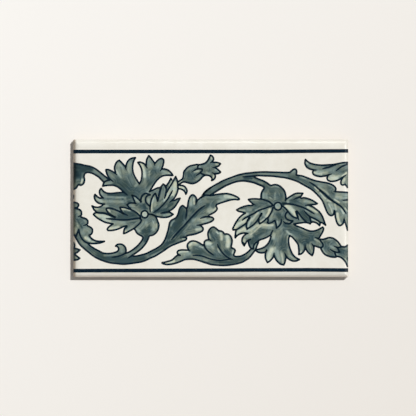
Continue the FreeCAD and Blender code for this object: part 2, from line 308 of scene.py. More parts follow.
right_d: -21.3,3.9 -20.2,4.1 -18.9,4.8 -17.3,5.2 -17.9,4 -18.8,2.6 -19.8,1 -21,-.3 -22.2,-1.2 -23.4,-1.9
right_e: -23.2,-2.4 -22.2,-2.9 -21.1,-3.6 -22.2,-4.4 -24,-5.1 -26,-5.3 -28,-5.2 -30,-4.8 -31.3,-4.4 -33,-3.6
right_line 1.2: -23.4,-2.2 -25.5,-2.6 -28,-3
right_f 1.15: -25.4,12.1 -25,10.9 -24.7,9.8 -25,8.3 -25.3,7 -25.8,5.2
right_join 0: -21.4,14.4 -20.6,15.6
right_midrib: -21.4,9.4 -22.5,7.5 -23.8,5.2 -25,3.6 -26.5,1.8 -28,.3 -29.5,-1 -32,-2.8
fill: heart
fill: base petal_a petal_b petal_c -petal_under
fill: petal_d petal_e petal_f petal_g
fill: petal_i petal_j petal_k side_lobe_a
fill: side_a side_b side_c -side_lobe_b -side_lobe_a side_line
fill: right_a right_join right_c right_d right_e centre_tall
fill: petal_h -right_edge centre_tall
.6 1.2: -57.2,19.6 -55.5,17.8
.7 1.5: -54.5,16 -54,15.5
1 2: -51,23 -50.5,20
1.7 .5: -52.6,20.5 -51.6,18.6 -50,16.5
.4 .5: -50.3,22 -49,17.5
1 1.3: -45.3,24.5 -45.5,20
.9 .4: -44.4,25 -44.5,21
.4 .4: -46.5,20 -46,17
0 3: -52,14 -48,12 -45,10
-.25 2.2: -48.5,11 -46.5,9
0 3: -44,9 -40,8.5
.9 .6: -43,18 -41.5,15.5 -41,13 -42,12
.75 .7: -58.6,13.3 -55.5,13.8
1.9 1: -38.9,24.2 -37.6,21 -37,17.5
.6 .6: -35.4,18.5 -35.4,15.5
1.3 .4: -34.2,20 -34.3,16
.95 1.2: -34.6,26.5 -33.8,23
.75 1.2: -28.8,25.5 -29.8,22.5
.1 1.8: -31.5,20 -32.5,17 -33.5,14
.9 .8: -27,20 -24,19.3
1.5 .4: -23.6,19 -22.5,19
1.3 .25: -27,18.4 -24,18.4
.2 1: -29.5,18 -31.5,15
.5 .7: -36.7,15 -36.3,12.5 -36,10
.9 .6: -35.5,8.6 -33,10
.2 1.2: -39.5,10.8 -38,9.7
-.3 .7: -57,7.1 -47.5,7.1
.8 .4: -59.5,6.1 -55,5.9 -50,5.8 -47.5,5.6
.15 .35: -58,4.9 -48.5,4.8
.8 .7: -60,3.5 -49.5,3.3
1.4 .8: -63.3,4.8 -61,3.6
1 .8: -61.3,8.6 -60.6,7
1.2 .6: -60,1 -57,.9
.3 1: -56,1.4 -48,1.4
0 1: -45.9,4.6 -45.4,2.5
1.9 .7: -65,.3 -62.5,-.6
.6 .9: -62,-1.3 -59,-1.4
1.9 1.2: -63.5,-4 -60,-4.6 -57,-5
1.7 .8: -60,-6.4 -56,-7.4
.9 1.2: -54,-8 -48,-8.6
.35 1: -46.5,-7.8 -41.5,-8.3
2 .9: -56.5,-11.6 -51.5,-10.9
.8 1: -47,-12.3 -43.5,-10.8
1.6 .4: -48,-13.7 -47.3,-12.8
-.9 .5: -46.8,-10.3 -47.1,-11
1.7 .6: -57.3,-.9 -56.4,-2
.5 1: -54,-2.2 -51,-3
-.1 1.4: -51,-4.8 -46,-5 -42,-5
1.9 .5: -49.6,-.5 -47,-.9 -45,-1.4
-.1 1: -47.5,-2.5 -43,-3.4
1.4 .5: -44,-.9 -41,-2.2 -39.8,-3.2
.9 .8: -45,1.3 -42,1
.6 .8: -42,-.2 -40,-1.4
1.1 .6: -42.5,5.6 -40.5,3.2
.1 1.2: -41,1.5 -38,1 -36.8,-.5
-.3 .7: -37.2,1.8 -36.6,-.3
.7 .6: -37.8,5 -37.6,3
1 .8: -34.8,4.5 -34.3,2.5
1.6 .6: -32.2,5.5 -32.9,1.5 -33,-1.5
.9 .7: -31,5 -31.2,1
.6 .8: -27,9 -27.5,5 -28.5,2.5
.5 .6: -26,12 -26,10.5
.2 .5: -24.4,11.8 -24.6,11
1.5 .35: -23.2,12.3 -21.9,14.5
.6 .8: -31,9.8 -29,9
2 1.2: -20,13.5 -20.3,10 -21.5,7
1.5 .8: -21.9,12 -23.4,9 -24.5,6 -26,4
.2 .6: -21.5,6 -22.5,4.8
.2 1.4: -22,2.5 -25,1 -27,.3
-.1 .9: -21.8,2.2 -23.3,1.2
-.2 .8: -24,-.8 -30.5,-2
1.1 .6: -23,-3.7 -26,-4.2
.7 .6: -29.5,-3.8 -28.5,-3.8
.2 .5: -27,4.6 -28.4,3.6
""",
    "bud": """
stalk_top: -18.2,14.4 -17,15.1 -16,15.8 -15.5,17 -15.3,18.5 -15.1,19.9 -14.3,20.9 -13.4,22 -12.3,22.7
 -11,23.2 -9.3,23.5 -7.8,23.8 -6.9,23.6 -4.8,24 -3.5,24.5 -2.3,25.5 -1.4,26.8 -.5,28.8 .3,28.6 1,27.9 1.3,27
 1.1,26 -.4,24.7
tip_b: .6,25.2 1.5,25 3,24.9 4.3,24.6 5.1,24.2 4.5,23.4 3.5,22.7 .8,22
tip_c: 2.2,22 3,21.6 4.2,20.6 5.2,19.6 4.6,19.1 3.5,18.8 2.3,18.7
tip_d: .5,19.2 1.5,18.9 2.2,18 2.3,17 1.9,16 1.1,15.3 .3,15 .5,16 0,16.9 -.9,17.6 -2.2,17.9 -3.6,17.8
 -4.7,17.1 -5.6,16.1 -6.6,15.1 -7.8,14.2 -9,13.6 -10.3,13.3 -11.6,13.4 -13,13.8 -14.5,14.2 -15.7,14.1
 -16.8,13.5 -18,12.6
inner_a: -6.9,23.7 -7.4,22.8 -7.5,21.3
inner_b: -10.3,19.9 -9.2,20.6 -8,21.2 -6.5,21.4 -5,21.3 -5,20.4 -5.8,19.6 -6.5,18.9 -8.3,17.7
inner_c: -6,19.3 -5.2,18.7 -3.5,18
tendril: -18.3,12.5 -16.8,12.3 -15.3,12 -14.3,11.2 -13.6,10.1 -13.4,9 -14,7.5 -14.4,8.4 -15,9.3 -16,10
 -17.2,10.4 -18.3,10.4
fill: stalk_top tip_b tip_c tip_d
fill: tendril
.15 1.6: -13.5,17 -11,16
.1 2: -12.5,18.5 -9.5,17
.6 1: -13.5,21.3 -10.5,22.3
1 .6: -9.5,22.8 -8.3,23
1.4 .6: -9.2,20 -7,20.3
.6 .8: -6.5,17.8 -8,15.8
.9 .35: -15,19 -14.8,17
1.3 .45: -17.9,13.6 -16.4,14.5
1.6 .4: 0,28 .3,26.8
.7 .6: -.3,26 -1.5,24.8
1.5 .5: 4.2,24.2 2.8,24
.3 .8: 1,23.6 -2,23.6
1.1 .6: 4.2,20 2.5,20.8
.2 .9: 0,20.5 -3,20.5
1.1 .5: -2.5,19.3 -1,18.6
2 .4: 1.3,17.6 1.2,16.5
.45 .8: -4,22.5 -2.5,21.8
.9 .5: -6.3,22.8 -6.3,22.2
2.2 .7: -17.5,11.3 -15.3,10.8
1.6 .4: -14,9.8 -13.9,8.6
""",
    "upper_stem": """
top: -5.3,5.6 -4.5,7.1 -3.5,8.5 -2,9.8 -.3,11 2,12.4 4.2,13.6 6.6,14.9 9.1,15.9 11.6,16.8 14,17.7 16.6,18.4
 19,18.9 22,19.2 25,19.5 30,19.7 33,19.6 36,19.5 39,19.4 43.2,19.4 44.2,20 45.2,20.8 46.2,21.3 47,21 47.4,20
 47.2,18
top_leaf: 47.2,18 49,17.7 50.5,17.5 52,16.9 54,16.2 56,15.4 58,14.8 60,14.4 62,14 64,13.7 66,13.1 67.6,12.3
 68.8,11.2 69.1,10.2 68.8,9.3 68,8.9
top_end: 69,8.9 71,8.7 73,8.6 77,8.3
under 1.1: -.4,7 1,7.8 2,8.5 4,9.8 6,11 8,12.1 10,13 12,13.8 14,14.4 16,14.7 18,14.8 20,14.6 22,14.2 24,13.7
 26,12.9 28,12.1 29.2,11.3 29.3,10.5 28.7,9.6 28,8.3 27.7,6.8 27.7,5
top_start 1.2: -5,6.2 -4.5,7.1 -3.5,8.5 -2,9.8 -.3,11
fork: 17.5,17 20,17.2 24,17.5 26,17.7 29,17.6 32,17.5 35,17.3 38,16.9 40,16.7 42,16.3 44,15.8 46.1,15.1
 48.2,14.3 50.2,13.2 52.2,12.1 54.2,11 56.3,9.6 58.2,7.9 60.1,5.9 61.6,4 62.5,2 63.3,0 64,-1.8 64.8,-3.2
 65.8,-4.1 66.8,-4.3 67.7,-3.8 68.4,-1.5
leaf_b: 68.5,-2 68.6,-2.5 68.8,-4.5 69.2,-6.5 69.8,-8.3 70.6,-9.5 71.4,-9.8 72.3,-9.4 73.2,-8.4 73.7,-5.6
leaf_c: 73.8,-6.6 74,-7.5 74.6,-9 75.2,-10.8 75.6,-12.3
leaf_rib .9: 54.5,14.2 56,13.2 57.6,12.1 59,10.8 60.2,9.8 61.6,8.6
leaf_midrib 1.3: 60.4,9.6 61.6,8.6 63,7.4 64.5,6 66,4.7 67,4
leaf_spine: 66,4.7 68,3.3 70,2 71.7,.9 73,-.5 74,-2 74.8,-3.3
leaf_vein: 73,4 75.7,4.4
branch 1.05: 23.8,17 25,16.3 27,15.5 29,14.7 31,13.6 32.5,12.5 33.3,12.2 34.2,12.5 35.5,12.7 37,12.4
 38.4,11.6 39.7,10.4 40.7,9 41.2,7.2 41.4,5.5 41.2,4
leaf_close 0: 77,-12.3 77,8.3
neck 0: 41.2,4 27.7,5
fill: top top_leaf top_end -leaf_close -leaf_c -leaf_b -fork branch neck -under
.15 1.5: -3.5,8 -1,9
.25 1: 1,10.3 6,13.2 11,15.5
.4 .7: 12,16.3 17,16.7
0 .5: 12,17 17,18.3
.25 .6: 20,18.3 26,18.7
.7 .4: 26,18.8 38,18.6
.55 .6: 38,17.9 42,17.8
.1 1: 43.5,17 48,16.3
.7 .5: 45,19.6 46.4,20.2
.35 .8: 18,16 22,15 27,13.9
-.5 .5: 18.5,16.4 22.5,16.2
.7 .5: 26.5,14 28,13.5
.1 .8: 29.5,12.5 30.5,11.5
.22 3: 33,9 38,9
.9 .4: 33.4,11.6 35,12.1 37.6,11.5
1 .6: 28.9,8 29,5.5
.75 .7: 30.4,7.4 30.8,5.4
.9 .4: 32.6,5.6 34,3.6
.8 .4: 35.4,8 35.3,4.5
.15 1: 38,6 38.5,4
1.3 .3: 49.2,17 52.5,16.1
0 1.2: 48,15.5 54,13
.6 .6: 55,14.6 60,13.4
.6 1: 60,12.6 63,12.3
.4 1.2: 63,10.8 67,10.2
.8 .35: 65,12.7 67,12
.9 .4: 67.6,11.6 68.2,10.4
.15 1: 65.5,8.6 68,7.5
1.2 .35: 59.5,11.9 61.5,10.2 63.5,8.7 65,7.2
1 1: 70,7.4 75.5,7.2
1.2 .8: 69.5,6 72,5.5
1.25 .4: 73,5.2 75.5,5.5
1 .6: 73,3.2 75.5,3.2
.4 .8: 71.5,3 74,1
1.8 .35: 68.3,4.6 71,2.9
.15 .6: 75.5,.4 75.5,-.8
.2 1: 50,14.5 54,12.5 57,10.7
1.7 .4: 57.5,11.2 59.3,9.4
.75 .6: 58.3,9 60,7.2
1.2 .8: 61.5,5.8 63,3.5
1.8 .35: 60.3,8.2 62,6.4 63.5,5
.7 .6: 62.9,3.4 64,0 65,-2.3
1.6 .6: 64.5,4 66.5,3.6
1 .6: 65.6,2.6 65.8,1.6
.7 .5: 65.4,.5 66,-2.8
1.1 .5: 66.8,2 67.6,-.5
1.7 .35: 65,2 66.3,0 67.2,-2.8
1.3 .6: 68.6,2 69.2,-.8
.8 .8: 70.5,.4 71,-1
2.1 .7: 69.9,-3.3 70.1,-5 70.8,-7.5
.6 .6: 71.5,-2 71.8,-5.5
1.7 .7: 72.5,-.8 73.3,-3
1.9 .6: 71,-8 71.8,-8.8
.7 .5: 73,-4.5 73.2,-7.5
.6 .8: 74.6,-4.2 74.9,-6.5
1.3 .4: 74.2,-.2 75.4,-1.8
""",
    "corner_leaf": """
top: 77,24.9 73.5,24.8 71,24.4 68,23.8 65,23.6 62,23.4 59.5,23.5 57,23.9 55,24.5 53.5,25.4 52.3,26.5
 52.1,25.6 52,24.3 52.5,23.2 53.3,22.1 54.8,21.3 56.5,20.9 58.3,20.7
lobe_b: 57,20.8 56.7,20.5 56.3,19.6 56.5,18.7 57.5,17.9 59,17.4 61,17.2 63,17.5 64.5,17.9 66.9,18.6
lobe_c: 64.9,18 64.6,17.6 64.3,16.6 64.5,15.5 65.4,14.8 66.7,14.5 68.2,14.6 69.8,15 71.3,15.7 72.6,16.5
 74.8,18.1
lobe_d: 73,16.7 72.7,16.3 72.2,15.2 71.9,14 72.1,13 72.9,12.5 74.3,12.9 75.5,11.2
rib_a: 61.8,21.4 63.5,21.9 65.5,22.4 67.5,23.2 69,23.7
rib_b: 69.2,20.3 70.5,21.3 72,22.4 73.5,23.2 75.5,23.9
close 0: 77,11.2 77,24.9
fill: top lobe_b lobe_c lobe_d close
.6 1: 57,22.4 62,22.5
.8 .8: 54.5,23.3 56,22.6
1.7 .5: 52.6,25.2 53.4,24.2
.5 .35: 58,23.1 66,23.2
1.1 .35: 71.5,23.9 74.5,24.4
.5 1: 73,21.5 75.3,22.5
.15 1.2: 71,19.3 74.5,20.3
.6 1.2: 63,20.8 68,20.8
1.2 .5: 58.5,20 62,19.9
1.1 .8: 61,19.4 64,19
1.8 .6: 58,19 61,18.4
2.1 .5: 57.2,19.3
1.4 .7: 66,17.6 68,17.8
2 1.2: 66.5,16 69.5,16.3
2.1 .5: 65.1,15.9
1.2 .7: 70,17.6 72,17.6
.5 .8: 68,19 72,18.6
1.9 .45: 72.8,17.6 74.9,19.2
1.7 .8: 73.1,14.6 73.8,15.9
-.9 .3: 72.7,16.2 73.2,16.5
1.8 .5: 72.5,13.6 73.2,13.2
.6 .6: 75.2,13 75.2,17
""",
    "right_flower": """
hang_a: 30.8,-23.3 30.2,-24.8 30,-26.5 30.3,-28.3 31.2,-30.1 32.3,-29.5 33.5,-28.3 34.5,-26.9 34.9,-25
hang_b: 34.8,-26 35.2,-27 36,-28.6 37.2,-30 38.5,-31 40.2,-31.4 40.8,-30.2 41.2,-28.5 41.5,-27 40.8,-24.8
hang_c: 41.4,-26.4 41.8,-26.9 42.6,-27.9 44,-28.8 45.6,-29.3 47.3,-29.2 48.9,-28.5 47.6,-27.8 46.2,-26.8
 45,-25.3 44,-23.3 43.3,-21 42.9,-18.8 43,-16.8 43.5,-15.3
hang_d: 43.5,-15.3 44.8,-16 46,-17.2 47.2,-18.7 48.2,-20.2 48.5,-22 48.7,-24 48.6,-25.7 50,-25.3 51.2,-24.2
 51.9,-22.8 52.1,-20.3
hang_e: 52.2,-21.7 52.5,-22.5 53.3,-23.9 54.5,-25.2 56,-26.3 56.6,-24.8 56.9,-23 56.9,-21.5 55.8,-19.8
hang_f: 56.5,-20.8 57.3,-21 58.5,-21.3 60,-21.8 61.3,-21.8 62,-20.9 61.8,-19.8 60.8,-18.4 59.9,-17.2
 57.8,-16.4
hang_g: 59.5,-16.9 59.9,-16.6 60.5,-15.5 61.4,-14 62.1,-12.4 62.3,-11.3 61.8,-10.7 60.5,-11.4 59,-12.2
 57,-12.8 55,-12.8 53,-12.3 51,-11.4 49,-10.6 47.5,-10.1 46,-9.2
left_a: 34.2,1.4 33.4,2.3 32,3.4 30,4.2 28,4.7 26,4.8 24,4.9 22,4.8 20.7,4.5 21,4.1 22.2,3 23.2,2.1 24.5,1.5
left_b: 23.4,1.8 22.5,1.3 20.5,1.2 18.5,.8 16.8,.2 15.3,-.5 14.2,-1.2 15.2,-1.9 16.9,-2.3 18.9,-2.9
left_c: 18.8,-3.1 17.7,-3.7 16.4,-4.7 15,-6.2 13.8,-8 12.8,-9.8 12,-11.5 12.2,-12.2 14,-12 15.5,-11.2
 17,-10.2 18.5,-9.2 19.7,-8 20.2,-7 21.4,-5.5
left_d: 13.8,-12.3 13.5,-14 13.4,-16.5 14.2,-15.5 15.5,-14.6 17,-14.1 18.7,-13.9 20.3,-14.2
left_e: 19.7,-14.2 19.3,-14.5 18.2,-15.4 17.4,-16.5 17.1,-18 17.4,-19.5 18.3,-20.9 18.9,-19.8 19.7,-18.6
 20.6,-17.8 21.8,-17.4
left_f: 21,-17.7 20.8,-18.2 20.7,-18.9 21,-20.4 21.9,-22.1 22.9,-22.6
left_inner_a: 19.7,-8.2 19.5,-9.7 19.9,-11.8 21,-11 22.3,-10.2 23.6,-9.2 24.6,-8.2 25.6,-7 26.5,-5.6
 27.3,-4.3 28,-3.4
left_inner_b: 26.4,-6.2 26.4,-7.5 26.9,-8.8 28,-8.2 29.3,-7.2 30.6,-6 31.4,-5.4
left_knob_a 1.3: 20.3,-6.9 21.3,-5.5
left_knob_b 1.25: 27.2,-4.5 27.9,-3.3
left_tip_a 1.4: 17.6,-19.4 18.3,-20.6
left_tip_b 1.3: 13.5,-15.2 13.5,-16.2
left_rib: 17.2,-6.9 18.5,-5.9 20,-5 22,-4 24,-3 25.5,-2 27,-1.2 29,-.6 31,.1 32.8,.7 34,1.1
boss_line: 34.2,0 33.8,-1.5 33.2,-2.8 32.3,-4.3 31.5,-5.6 31.6,-7 31.2,-8.3 32,-8.6 33.3,-8.2 35.4,-6.9
boss_leaf: 35.3,-7 35.5,-7.5 36,-9.2 36.2,-11.2 37.2,-10.4 38.2,-9.3 38.8,-8 38.9,-6.4
joint_a: 26.1,-18.4 24.6,-19.4 23.6,-20.8 23.3,-22.6
joint_b: 26.4,-18.1 25.9,-19.6 25.3,-21.1 24.7,-22.9 24.4,-23.4
gap_upper: 26.3,-18.1 27.5,-17.5 29,-17 30.5,-16.4 32,-15.6 33,-14.9 33.6,-13.5 34.2,-12.4
gap_lower: 33.2,-15.8 32.7,-17.4 32,-19 31,-20.4 29.5,-21.6 27.8,-22.4 26,-22.9 25,-23
foot: 24.6,-23.3 25.5,-24.1 27,-24.7 28.5,-24.8 30,-24.4 30.8,-23.4
right_a: 41.6,4.7 43,5.7 44.5,6.6 46,7.5 47.5,7.9 49,8 50.8,7.9 50.3,7.1 49.6,6.2 48.5,5.7 47,5.2 45.8,4.6
right_b: 49,5.9 50,5.3 51.2,5.5 53,5.2 54.8,4.6 56.5,3.8 58.8,2.3 57.8,1.9 56.3,1.8 54.8,1.6 52.2,1.3
right_c: 54.2,1.5 55,1.1 56.6,.4 58,-.7 59.5,-1.8 60.7,-3.2 61.7,-4.9 62.4,-6.8 63.4,-9.5 62.4,-8.8
 61.2,-8.1 60.6,-8.3 60.1,-9.8 59.3,-9 58.3,-8.3 57.2,-7.9 56.2,-7.8 55.3,-8.2 54.9,-8.8 54,-8.4 52.8,-8.1
 51.5,-8.1 50,-8.3 48.5,-8.5 45.8,-9
right_rib: 40,2 42,2.1 44,2 46,1.7 48,1.1 50,.5 52,-.3 53.8,-1.3 55.5,-2.3 57.2,-3.4
right_vein_a: 39.8,.8 40.8,0 41.8,-1 42.8,-2.3 44,-3.7 45.3,-4.9 47.5,-5.8
right_vein_b 1.25: 47,-2 47.5,-3.5 48,-5 48.5,-6.5
right_vein_c: 47.5,-1.8 48.8,-3.4 50,-5 51.3,-6.5 52.5,-7.6
right_vein_d: 51.5,-1.6 52.5,-2.8 54,-4.3 55.5,-5.2 57,-5.9 58.5,-6.7 60.6,-8.1
right_vein_e: 54.6,-5 55,-6.2 55.3,-7.8
curl_a: 42,-2.4 41.3,-3.5 41.1,-4.6 41.6,-5.8 42.5,-6.6 43.7,-7 45.3,-7.2
curl_b: 40,-7.5 41,-8.4 42.3,-8.7 43.7,-8.6 45.3,-7.3
neck 0: 27.7,5 41.2,4
fill: hang_a hang_b hang_c hang_d hang_e hang_f hang_g -boss_leaf gap_lower foot
fill: left_a left_b left_c left_d left_e left_f -joint_b gap_upper boss_leaf
fill: neck right_a right_b right_c -boss_leaf
1 .4: 22.3,4.3 26,4.3
.1 1.5: 25,1 28,2.3 31,1.7
.5 .5: 31.8,2.4 32.6,2
1.3 .5: 15.5,-1.2 18.5,-1.4
.9 .6: 20,-.9 22,-1.2
.2 .35: 16.5,-.5 19.5,-.5
.9 .4: 24.5,-1.3 27,-.4
1.7 .8: 15.5,-6 18,-4.2 20,-3.6
2 1: 13.2,-10.8 15,-9 17,-7.8 18.6,-7.8
1.6 .5: 20.5,-10.5 21.3,-8 22.5,-6
.6 .5: 22,-9.7 24,-7.5 25,-5.5
1.7 .6: 26,-2.8 24,-5 22.5,-7
1 .8: 28.5,-1.8 29.5,-4
.8 .3: 30.4,-1.8 30.2,-3.2
1.8 .7: 32.5,-.8 31.8,-3 30.6,-5
1.9 .9: 14.3,-14.5 15.5,-13 18,-11.8
1.6 .8: 18.5,-12.8 22,-12.3 25,-10 28,-9
1.2 .6: 18.5,-15.8 21,-14.6 24,-12.5
2 .35: 21.7,-15 25,-12 27.7,-10
.9 .3: 22.5,-13.8 25.5,-11
1.6 .5: 27.5,-7.6 29.5,-6.2
1.9 .4: 18.2,-7 19.9,-5.9
1.9 .5: 18.2,-10.9 19,-12
1.6 .7: 18,-19.5 18.4,-17.5
.1 1.8: 25,-15.5 28,-13 31,-11.7
-.1 1.5: 23,-17.3 25,-17
1.1 .7: 19.3,-16 22.3,-15.7
-.15 1: 22.3,-18.5 23,-19.8
.4 .4: 22.5,-20.6 22.6,-21.4
.6 .5: 31.8,-13.8 32.5,-13
1 .7: 28.5,-10.5 33,-11.1
1.7 .7: 28.5,-9.3 31,-9.6 34,-9.6
.9 .3: 25.4,-19 24.3,-21.8
.7 .5: 26,-23.6 29.5,-23.4
.8 .8: 33.7,-3.6 33,-6.3
.5 .6: 35,-3 35,-5
-.15 1.3: 37,-3.5 38.8,-5.8
-1 .8: 39.8,2.2 41,2.2
.1 .4: 39.9,-.8 40.9,-2
1.1 .4: 36.6,-7.5 36.8,-9.5
.8 .4: 41.9,-4 42.3,-5.4
.5 .8: 43.2,-5.2 44.5,-6
.6 .4: 41,-7 43.3,-7.7
1.1 .5: 47,7 49.5,7.3
.9 .5: 42.8,4.6 44.5,5.6
1.1 .6: 42.5,3.5 42.8,3.2
-.1 1.2: 44.5,3.5 47.3,3.6
.3 1: 48.5,3.2 50.5,2.6
.9 .7: 52,3.6 55.5,3 57,2.5
2.2 1.1: 41.8,.9 43.4,0 45.2,-1.8 46.9,-3.9
.35 1: 47.5,.4 50,-.6
-.2 1.3: 50.5,-2.5 52,-4.5 53.5,-6.5
1.1 .35: 48.4,-4 49.2,-6 49.8,-7
.5 .7: 46.5,-7 50.5,-7.3
1.8 .6: 53.5,.3 56,-.9 58.5,-2.5
.9 .3: 52.2,-1.4 54.5,-2.8
.4 .7: 54.5,-3.4 56.5,-4.4
.6 1: 57,-3.6 60,-5
.55 .6: 61,-6 62.2,-7.5
1.7 .4: 55.6,-6.2 57.5,-7 59.5,-8
2.1 1.2: 31.7,-28.3 32.3,-25.5 33.7,-23
1.3 .5: 35.3,-24 35.5,-22
0 .8: 33.8,-18.5 34,-20
.2 .6: 34.2,-12.7 34.3,-13.8
1.3 .9: 34.8,-14.5 34.6,-16.5
.6 .8: 37,-13 36.6,-18
1.1 1: 37.5,-28.5 36.5,-24
1.6 .6: 39.8,-30 39.2,-25.5 39,-24
0 2: 40,-22.5 40,-19.5 40.2,-18.5
.7 1: 38.8,-11.5 41.3,-14
1 .5: 44.2,-14.5 46.5,-16.8
1.5 .5: 41.9,-12.8 43.3,-14.2 44.5,-15.3
.1 .8: 40.2,-8.8 41.3,-10.3
.25 .8: 40.4,-12.2 40.6,-13.6
1.3 .4: 42.6,-15.8 42.5,-19
.9 .8: 43.5,-26.5 46.5,-28.3
.7 .6: 42.6,-23 43.2,-25
.1 1.6: 43,-10.5 46,-12.5 49,-14.5
.9 .4: 48.5,-11.2 51,-12.3 53,-13
0 2: 51,-15 54,-15.5 57,-15
0 1: 55,-17.5 58.5,-17
.8 1: 49.5,-20.5 50,-22.5
-.05 1.2: 49.5,-18 52.5,-20
1.9 .4: 49.5,-24.6 50,-23.8
.5 1: 53.5,-20.5 55.3,-24
1.1 .35: 54.5,-20.5 55.8,-24
-.3 .8: 53,-18 53.5,-19
.3 .8: 57.5,-18.5 59.5,-20.3
1.1 .4: 57.5,-17.3 60,-18.8 61,-19.6
1.8 .4: 60.6,-20.7 61,-20.6
.9 .5: 61.5,-11.6 60.8,-13.2
.3 1: 57,-14 59.5,-14.5
""",
    "small_leaf": """
upper_a: 22,-22.7 21,-23.8 19.8,-24.8 18.3,-25.8 16.7,-26.5 15,-26.8 13.5,-26.8 12.6,-26.3 12.6,-25.4
 13,-24.5 13.3,-23.6 12.9,-22.8 12,-22.3 11.2,-22 11.1,-21 11.5,-19.5 11.6,-18 11.3,-16.7 10.6,-15.5
 9.7,-14.7 8.7,-14.4 7.6,-14.5 7.2,-14.2 6.5,-13.3 5.5,-12.8 4.2,-12.6 3.2,-11.8 2.2,-11 1.2,-10.6 .2,-10.9
 -.8,-11.8 -1.5,-13 -1.8,-14.5 -1.6,-16 -1.3,-17.2 0,-18.3
upper_b: -1,-17.5 -1.5,-17.6 -2.7,-17.8 -3.6,-18.5 -3.9,-19.6 -3.7,-20.9 -3.2,-22.2 -2.2,-23.4 -1,-24.5
 1.3,-26
upper_c: -3.8,-20.8 -5,-20.3 -6.5,-19.4 -8,-18.7 -9.5,-18.3 -11,-18.4 -12.3,-19.1 -13.1,-20.2 -13.2,-21.5
 -12.8,-22.6 -12.2,-23.5
upper_d: -12.6,-23.2 -13.5,-23.3 -15.5,-23.2 -17.3,-23.3 -18.5,-23.9 -18.8,-24.8 -18.2,-25.7 -17.2,-26.2
upper_e: -17.8,-26 -18.6,-26.1 -19.8,-27 -21,-28.2 -22.3,-29 -24,-29.5 -25.8,-30 -27.2,-30.2
lower: -27.2,-30.4 -26.3,-30.9 -24.5,-31.2 -22.5,-31.1 -20.5,-30.7 -18.5,-30.1 -16.5,-29.3 -14.5,-28.5
 -12.5,-28.3 -10,-28.3 -8,-28.7 -6,-29.3 -4,-30 -2,-30.6 0,-31.2 3,-31.5 6,-31.7 9,-31.6 12,-31.2 15,-30.6
 17.5,-29.8 19.3,-28.7 20.6,-27.9 22.2,-26.2 23.8,-24.1 24.5,-23.3
midrib .85: -10,-26.3 -8,-26.2 -6,-26.4 -4,-26.9 -2,-27.7 0,-28.3 2,-28.7 4.5,-29 7,-28.8 9.5,-28.4 12,-28.3
vein .9: 3.5,-20 4,-21.5 5,-23 6.3,-24.8 7.8,-26.3 9.5,-27.5 11,-28.2
joint 0: 24.5,-23.3 24.4,-22.6 23.3,-22 22.3,-22
fill: upper_a upper_b upper_c upper_d upper_e lower joint
2.1 .6: -17.8,-24.4 -15,-24.2 -13,-24.2
.9 .8: -16,-25.5 -12,-25.2
.7 1: -19,-28.5 -15,-27.2
2 .6: -25.5,-30.5 -21.5,-29.8 -20.5,-29.3
.4 .6: -13,-27.5 -8,-27.3 -4,-28.2
2.1 .8: -11.8,-20.5 -10.6,-19.5 -8.6,-19.5
1.3 .6: -10,-20 -7.5,-20.3
1.6 .4: -6.5,-21.3 -4.6,-22
.2 1.3: -9,-22.5 -6,-23.5 -3,-25.2
0 1: -10,-24.5 -6,-25
.9 .6: -12,-22.5 -11,-21.5
2.1 1: -2.3,-19.5 -.8,-19.8
1 .5: -2,-21.5 -.5,-22
1.1 .8: .5,-21.5 1,-22.5
.4 1: .5,-24 3,-24.8
1.2 .4: -1,-14.5 -.6,-16.5
0 .8: -.4,-13 .6,-15 1.5,-18
.1 .8: 2.5,-15 3.8,-18 4.6,-21
1.7 .35: 3,-13.2 3.9,-14.2
1.9 .7: 5.3,-14 5.8,-16.5 5.8,-17.2
.6 .35: 7.4,-15.5 7.6,-18.5
2.1 1: 9,-16 9.5,-19 9.2,-21
.35 .8: 6.8,-20.5 7,-22.5
-.2 1: 8,-24 10,-25.5
1.7 .35: 12.2,-23.6 11.8,-25
.1 .6: 10.4,-22.8 10.5,-23.4
1.3 .35: 3.6,-22.5 4.6,-24.5
.2 .6: 2.5,-22 3,-24
.15 1.5: -1,-26.5 4,-26.5 8,-27.5
.2 .7: -1,-29.2 3,-29.8
-.15 .7: 5,-30.2 14,-29.6
.9 .35: -4,-28.7 -2,-29.2
-.1 1: 11.5,-29 14,-28.7 18,-27.8
.7 .6: 20.5,-26 23,-23.8
""",
    "edge_bud": """
top: 60.3,-17.3 61.8,-17.4 63.5,-17 65,-16.5 66.5,-16.5 68,-17 69.3,-17.9 70.4,-18.9 71.3,-20.1 72.1,-21.2
 73,-21.4 74.3,-21.4 75.7,-20.6
notch_a: 72.1,-21.2 72,-21.5 71,-21.8 70,-21.9 68,-21
tip_a: 70,-22 70.5,-23 71.2,-24.4 70,-24.6 68.2,-24.1 67,-23.5 66,-22.9
tip_b: 68.5,-24.3 68.8,-25.5 69.3,-26.6
lower: 60.7,-22.2 61.3,-23.4 62.2,-24.8 63.3,-25.8 64.8,-26.5 66.5,-27 69,-27.2 69.6,-26.7 70.8,-26.9
 72.1,-27.4 73.4,-28.5 74.5,-29.9 75.6,-32.2
close 0: 77,-20.6 77,-32.3
fill: top close -lower
.9 .4: 60.8,-18 62,-18.8
1.2 .5: 64.5,-17.3 67.2,-17.4
.15 1.2: 63,-19 66,-19.2
.3 .8: 67,-18.5 69.5,-20
1.1 .35: 69.4,-18.9 71,-21
.6 .5: 68.6,-20.5 70,-20.8
.1 1.2: 63.5,-21.5 65.5,-23
1 .6: 66.3,-21.3 68.2,-22.3
.7 .4: 67.8,-23 69,-23.2
1.1 .35: 61.8,-22.6 62.8,-24.4
1 .4: 63.4,-25 64,-25.4
.3 .5: 66.5,-24 68,-25
1 .4: 69.5,-25.3 70.3,-26.2
0 1.5: 72,-23.5 74,-25.5
1.2 .5: 74.3,-28.3 75.2,-30.2
-1 .4: 75.6,-27.6 75.6,-28.4
""",
